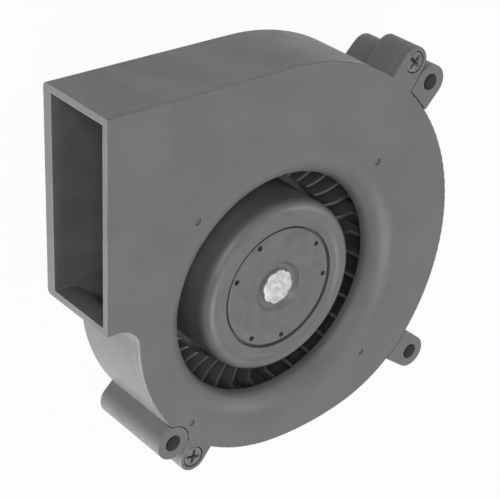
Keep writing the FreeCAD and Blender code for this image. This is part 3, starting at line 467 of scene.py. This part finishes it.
screwShape = {
    "headRadius": 2.7 * mm,
    "headHeight": 1.3 * mm,
    "headRound": 0.35 * mm,
    "headRings": 20,
    "sides": 96,
    "recessReach": 2.15 * mm,
    "recessHalf": 0.36 * mm,
    "recessDepth": 1.9 * mm,
    "recessSlope": 0.18 * mm,
    "shankRadius": 1.45 * mm,
    "threadDepth": 0.28 * mm,
    "threadPitch": 0.7 * mm,
    "levelsPerPitch": 6,
    "tipLength": 0.5 * mm,
    "turn": 0.35,  # where the driver left the cross, in radians
    "nextTurn": 1.0,
}


def clamped(value):
    return max(0.0, min(1.0, value))


def recessAt(x, y, shape):
    # depth of the cross recess: two slots with softened walls that rise over their outer half
    depth = 0.0
    for along, across in ((abs(x), abs(y)), (abs(y), abs(x))):
        wall = (shape["recessHalf"] - across) / shape["recessSlope"] + 0.5
        rise = 2 * (1 - along / shape["recessReach"])
        depth = max(depth, shape["recessDepth"] * clamped(wall) * clamped(rise))
    return depth


def headRing(reach, high, shape):
    # a ring is one (reach, height) row for each side
    fall = max(0.0, reach - (shape["headRadius"] - shape["headRound"]))
    drop = shape["headRound"] - math.sqrt(max(0.0, shape["headRound"] ** 2 - fall ** 2))
    return [(reach, high - drop - recessAt(reach * math.cos(angle), reach * math.sin(angle), shape))
            for angle in sideAngles(shape["sides"])]


def threadRing(turns, height, shape):
    ring = []
    for angle in sideAngles(shape["sides"]):
        phase = (turns + angle / (2 * math.pi)) % 1.0
        ring.append((shape["shankRadius"] - shape["threadDepth"] * abs(2 * phase - 1), height))
    return ring


def screwRings(low, high, shape):
    # the surface from the middle of the head to the tip
    rings = [headRing(shape["headRadius"] * ring / shape["headRings"], high, shape)
             for ring in range(1, shape["headRings"] + 1)]
    seat = high - shape["headHeight"]
    rings += [[(reach, seat)] * shape["sides"] for reach in (shape["headRadius"], shape["shankRadius"])]
    step = shape["threadPitch"] / shape["levelsPerPitch"]
    levels = int((seat - low - shape["tipLength"]) / step)
    rings += [threadRing(level / shape["levelsPerPitch"], seat - level * step, shape)
              for level in range(1, levels + 1)]
    return rings


def buildScrew(name, centre, low, high, turn, shape):
    build = bmesh.new()
    loops = []
    for ring in screwRings(low, high, shape):
        loops.append([build.verts.new((centre[0] + reach * math.cos(angle + turn),
                                       centre[1] + reach * math.sin(angle + turn), height))
                      for angle, (reach, height) in zip(sideAngles(shape["sides"]), ring)])
    top = build.verts.new((centre[0], centre[1], high - shape["recessDepth"]))
    tip = build.verts.new((centre[0], centre[1], low))
    for side in range(shape["sides"]):
        after = (side + 1) % shape["sides"]
        build.faces.new((top, loops[0][side], loops[0][after]))
        build.faces.new((tip, loops[-1][after], loops[-1][side]))
        for upper, lower in zip(loops, loops[1:]):
            build.faces.new((upper[side], lower[side], lower[after], upper[after]))
    piece = newPiece(name, build)
    standFor(piece, "cover_screws", "casing", "screw_steel")


def meshBoxes(mesh):
    # the lowest and highest corner of each connected patch of a mesh
    build = bmesh.new()
    build.from_mesh(mesh)
    waiting, boxes = set(build.verts), []
    while waiting:
        stack = [waiting.pop()]
        points = []
        while stack:
            vert = stack.pop()
            points.append(vert.co.copy())
            for edge in vert.link_edges:
                other = edge.other_vert(vert)
                if other in waiting:
                    waiting.discard(other)
                    stack.append(other)
        boxes.append([[pick(point[axis] for point in points) for axis in range(3)] for pick in (min, max)])
    build.free()
    return boxes


def solidBoxes(node, touch=0.01 * mm):
    # patches that overlap in plan belong to one solid, because the solids of a node stand apart
    merged = []
    for low, high in sorted(meshBoxes(nodes[node].data)):
        for other in merged:
            if all(low[axis] <= other[1][axis] + touch and high[axis] >= other[0][axis] - touch
                   for axis in (0, 1)):
                other[0] = [min(pair) for pair in zip(low, other[0])]
                other[1] = [max(pair) for pair in zip(high, other[1])]
                break
        else:
            merged.append([low, high])
    return merged


def addScrews(shape):
    for number, (low, high) in enumerate(solidBoxes("cover_screws"), 1):
        centre = ((low[0] + high[0]) / 2, (low[1] + high[1]) / 2)
        turn = shape["turn"] + number * shape["nextTurn"]
        buildScrew("coverScrew%d" % number, centre, low[2], high[2], turn, shape)
    print("cover screws:", number)


addScrews(screwShape)


# rotor cup with its dished middle, and the cast boss on the shaft

cupShape = {
    "discRadius": 15.92 * mm,
    "top": 22.45 * mm,
    "sheet": 0.8 * mm,
    "edgeRound": 0.18 * mm,
    "wellRadius": 7.0 * mm,
    "wellFloorRadius": 5.9 * mm,
    "wellFloor": 21.2 * mm,
    "wellRound": 0.45 * mm,
    "neckRadius": 3.8 * mm,
    "shoulder": 21.3 * mm,
    "radius": 21.8 * mm,
    "skirtEnd": 7.0 * mm,
    "holeRing": 14.55 * mm,
    "holeRadius": 0.72 * mm,
    "holeAngles": (-3, 37, 117, 157, 237, 277),  # degrees
    "holeSides": 28,
    "sides": 160,
    "creaseAngle": 40,
}
bossShape = {
    "headRadius": 4.65 * mm,
    "headTop": 22.36 * mm,
    "headFoot": 21.22 * mm,
    "crown": 0.10 * mm,
    "crownShares": (0.12, 0.25, 0.4, 0.55, 0.7, 0.82),  # of the head's radius, for its rings
    "edgeRound": 0.45 * mm,
    "lobes": 8,
    "lobeDepth": 0.42 * mm,
    "lobeTurn": 0.55,
    "lobePower": 1.6,
    "lobeFade": 6,  # the lobes fade out towards the middle by this power of the reach
    "lobeUneven": 0.25,
    "lobeWaves": 2,
    "pitting": 0.06 * mm,
    "pitSize": 0.9 * mm,
    "pitSink": 0.5,
    "pitLayer": 0.2 * mm,
    "noiseRows": (3.7, 1.3),  # where the unevenness and the pitting are read in the noise
    "slack": 0.01 * mm,  # so that a point on the head's foot still counts as the head
    "roof": 0.12 * mm,
    "axisGap": 0.02 * mm,
    "neckRadius": 3.75 * mm,
    "under": 20.4 * mm,
    "footRadius": 6.0 * mm,
    "footSlope": 0.02 * mm,
    "foot": 18.95 * mm,
    "bore": 1.5 * mm,
    "sides": 128,
    "creaseAngle": 50,
}


def rounded(profile, steps=5):
    # profile rows are (radius, height, rounding), and each rounded corner becomes a curve
    path = []
    count = len(profile)
    most = 0.49  # of a side, so that the curves at its two ends never meet
    for index, (reach, height, rounding) in enumerate(profile):
        here = Vector((reach, height))
        if not rounding:
            path.append(here)
            continue
        before = Vector(profile[index - 1][:2]) - here
        after = Vector(profile[(index + 1) % count][:2]) - here
        half = before.angle(after) / 2
        back = min(rounding / math.tan(half), most * before.length, most * after.length)
        start, end = here + before.normalized() * back, here + after.normalized() * back
        for step in range(steps + 1):
            share = step / steps
            path.append(start.lerp(here, share).lerp(here.lerp(end, share), share))
    return path


def spun(name, path, sides, inward=None, upward=None):
    # a closed profile turned about the rotor axis, moved where inward and upward give a distance
    build = bmesh.new()
    loops = []
    for point in path:
        loop = []
        for angle in sideAngles(sides):
            reach, height = point
            if inward:
                reach -= inward(reach, height, angle)
            if upward:
                height += upward(reach, height, angle)
            loop.append(build.verts.new((reach * math.cos(angle), reach * math.sin(angle), height)))
        loops.append(loop)
    for index, loop in enumerate(loops):
        after = loops[(index + 1) % len(loops)]
        for side in range(sides):
            ahead = (side + 1) % sides
            build.faces.new((loop[side], loop[ahead], after[ahead], after[side]))
    bmesh.ops.recalc_face_normals(build, faces=build.faces)
    return newPiece(name, build)


def drillHoles(piece, shape):
    # the balancing holes are cut through, and the cutter is taken away again
    build = bmesh.new()
    for angle in shape["holeAngles"]:
        turn = math.radians(angle)
        place = (shape["holeRing"] * math.cos(turn), shape["holeRing"] * math.sin(turn), shape["top"])
        bmesh.ops.create_cone(build, cap_ends=True, segments=shape["holeSides"],
                              radius1=shape["holeRadius"], radius2=shape["holeRadius"],
                              depth=3 * shape["sheet"], matrix=Matrix.Translation(place))
    mesh = bpy.data.meshes.new("cutter")
    build.to_mesh(mesh)
    build.free()
    cutter = bpy.data.objects.new("cutter", mesh)
    bpy.context.collection.objects.link(cutter)
    cut = piece.modifiers.new("holes", "BOOLEAN")
    cut.operation = "DIFFERENCE"
    cut.solver = "EXACT"
    cut.object = cutter
    bpy.context.view_layer.update()
    drilled = piece.evaluated_get(bpy.context.evaluated_depsgraph_get())
    drilledMesh = bpy.data.meshes.new_from_object(drilled)
    piece.modifiers.clear()
    piece.data = drilledMesh
    bpy.data.objects.remove(cutter)


def buildCup(shape):
    sheet, top, floor = shape["sheet"], shape["top"], shape["wellFloor"]
    shoulder, skirtEnd = shape["shoulder"], shape["skirtEnd"]
    profile = [
        (shape["neckRadius"], floor, 0),
        (shape["wellFloorRadius"], floor, shape["wellRound"]),
        (shape["wellRadius"], top, shape["wellRound"]),
        (shape["discRadius"], top, shape["edgeRound"]),
        (shape["discRadius"], shoulder, 0),
        (shape["radius"], shoulder, shape["edgeRound"]),
        (shape["radius"], skirtEnd, 0),
        (shape["radius"] - sheet, skirtEnd, 0),
        (shape["radius"] - sheet, shoulder - sheet, 0),
        (shape["discRadius"] - sheet, shoulder - sheet, 0),
        (shape["discRadius"] - sheet, top - sheet, 0),
        (shape["wellRadius"] + sheet / 2, top - sheet, 0),
        (shape["wellFloorRadius"] + sheet / 2, floor - sheet, 0),
        (shape["neckRadius"], floor - sheet, 0),
    ]
    piece = spun("rotorCup", rounded(profile), shape["sides"])
    drillHoles(piece, shape)
    keepCreases(piece, shape["creaseAngle"])
    standFor(piece, "rotor_cup", "rotor", "cup_steel")


def buildBoss(shape):
    lobeRow, pitRow = shape["noiseRows"]

    def lobing(reach, height, angle):
        if height < shape["headFoot"] - shape["slack"]:
            return 0.0
        notch = 1 - abs(math.sin(shape["lobes"] * (angle + shape["lobeTurn"]) / 2))
        around = (shape["lobeWaves"] * math.cos(angle), shape["lobeWaves"] * math.sin(angle), lobeRow)
        share = notch ** shape["lobePower"] + shape["lobeUneven"] * noise.noise(around)
        return shape["lobeDepth"] * share * (reach / shape["headRadius"]) ** shape["lobeFade"]

    def pitting(reach, height, angle):
        if height < shape["headTop"] - shape["pitLayer"]:
            return 0.0
        x, y = reach * math.cos(angle), reach * math.sin(angle)
        spot = (x / shape["pitSize"], y / shape["pitSize"], pitRow)
        return shape["pitting"] * (noise.noise(spot) - shape["pitSink"])

    high, head, foot = shape["headTop"], shape["headRadius"], shape["foot"]
    crown = [(head * share, high + shape["crown"] * (1 - share ** 2), 0) for share in shape["crownShares"]]
    profile = [
        (shape["axisGap"], high + shape["crown"], 0),
        *crown,
        (head, high, shape["edgeRound"]),
        (head, shape["headFoot"], 0),
        (shape["neckRadius"], shape["headFoot"], 0),
        (shape["neckRadius"], shape["under"], 0),
        (shape["footRadius"], shape["under"] - shape["footSlope"], 0),
        (shape["footRadius"], foot, 0),
        (shape["bore"], foot, 0),
        (shape["bore"], high - shape["roof"], 0),
        (shape["axisGap"], high - shape["roof"], 0),
    ]
    piece = spun("shaftBoss", rounded(profile), shape["sides"], lobing, pitting)
    keepCreases(piece, shape["creaseAngle"])
    standFor(piece, "shaft_boss", "rotor", "boss_metal")


buildCup(cupShape)
buildBoss(bossShape)
print("cup and boss built")


# floor, world and lamps

stageLook = {
    "floorSide": 4.0,
    "floorGap": 0.2 * mm,
    "floorColour": (0.52, 0.52, 0.52),
    "floorRoughness": 0.8,
    "shine": 0.96,  # share of plain white that the camera and reflections see
    "worldLevel": 0.26,
}
lampSet = {
    "key": {"place": (0.00, -0.46, 0.78), "width": 0.35, "height": 0.35, "power": 2.6},
    "side": {"place": (0.66, 0.12, 0.56), "width": 0.22, "height": 0.22, "power": 1.6},
    "fill": {"place": (-0.43, 0.38, 0.53), "width": 0.24, "height": 0.24, "power": 2.1},
    "low": {"place": (-0.42, -0.36, 0.013), "width": 0.60, "height": 0.022, "power": 5.2},
}
white = (1, 1, 1, 1)


def whiteForRays(tree):
    # 1 for camera, mirror and glass rays, 0 for the light that falls on the object
    path = addNode(tree, "ShaderNodeLightPath")
    seen = calculate(tree, "MAXIMUM", (path, "Is Camera Ray"), (path, "Is Glossy Ray"))
    return calculate(tree, "MAXIMUM", seen, (path, "Is Transmission Ray"))


def addFloor(look):
    half = look["floorSide"] / 2
    corners = [(-half, -half, 0), (half, -half, 0), (half, half, 0), (-half, half, 0)]
    mesh = bpy.data.meshes.new("floor")
    mesh.from_pydata(corners, [], [(0, 1, 2, 3)])
    floor = bpy.data.objects.new("floor", mesh)
    floor.location.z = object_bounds()[0][2] - look["floorGap"]
    bpy.context.collection.objects.link(floor)
    material, tree, shader = startMaterial("paleFloor", Base_Color=(*look["floorColour"], 1),
                                           Roughness=look["floorRoughness"])
    glow = addNode(tree, "ShaderNodeEmission", Color=white, Strength=1.0)
    mix = addNode(tree, "ShaderNodeMixShader")
    feed(tree, calculate(tree, "MULTIPLY", whiteForRays(tree), look["shine"]), mix, 0)
    feed(tree, (shader, 0), mix, 1)
    feed(tree, (glow, 0), mix, 2)
    feed(tree, (mix, 0), tree.nodes["Material Output"], "Surface")
    mesh.materials.append(material)
    floor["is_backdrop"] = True


def setWorld(look):
    world = bpy.data.worlds.new("studio")
    bpy.context.scene.world = world
    world.use_nodes = True
    tree = world.node_tree
    back = tree.nodes["Background"]
    setInputs(back, {"Color": white})
    feed(tree, spread(tree, whiteForRays(tree), 0, 1, look["worldLevel"], 1.0), back, "Strength")


def addLamps(lamps):
    for name, lamp in lamps.items():
        light = bpy.data.lights.new(name, "AREA")
        light.shape = "RECTANGLE"
        light.size = lamp["width"]
        light.size_y = lamp["height"]
        light.energy = lamp["power"]
        item = bpy.data.objects.new(name, light)
        item.location = lamp["place"]
        item.rotation_euler = (-Vector(lamp["place"])).to_track_quat("-Z", "Y").to_euler()
        bpy.context.collection.objects.link(item)


addFloor(stageLook)
setWorld(stageLook)
addLamps(lampSet)
print("stage set")
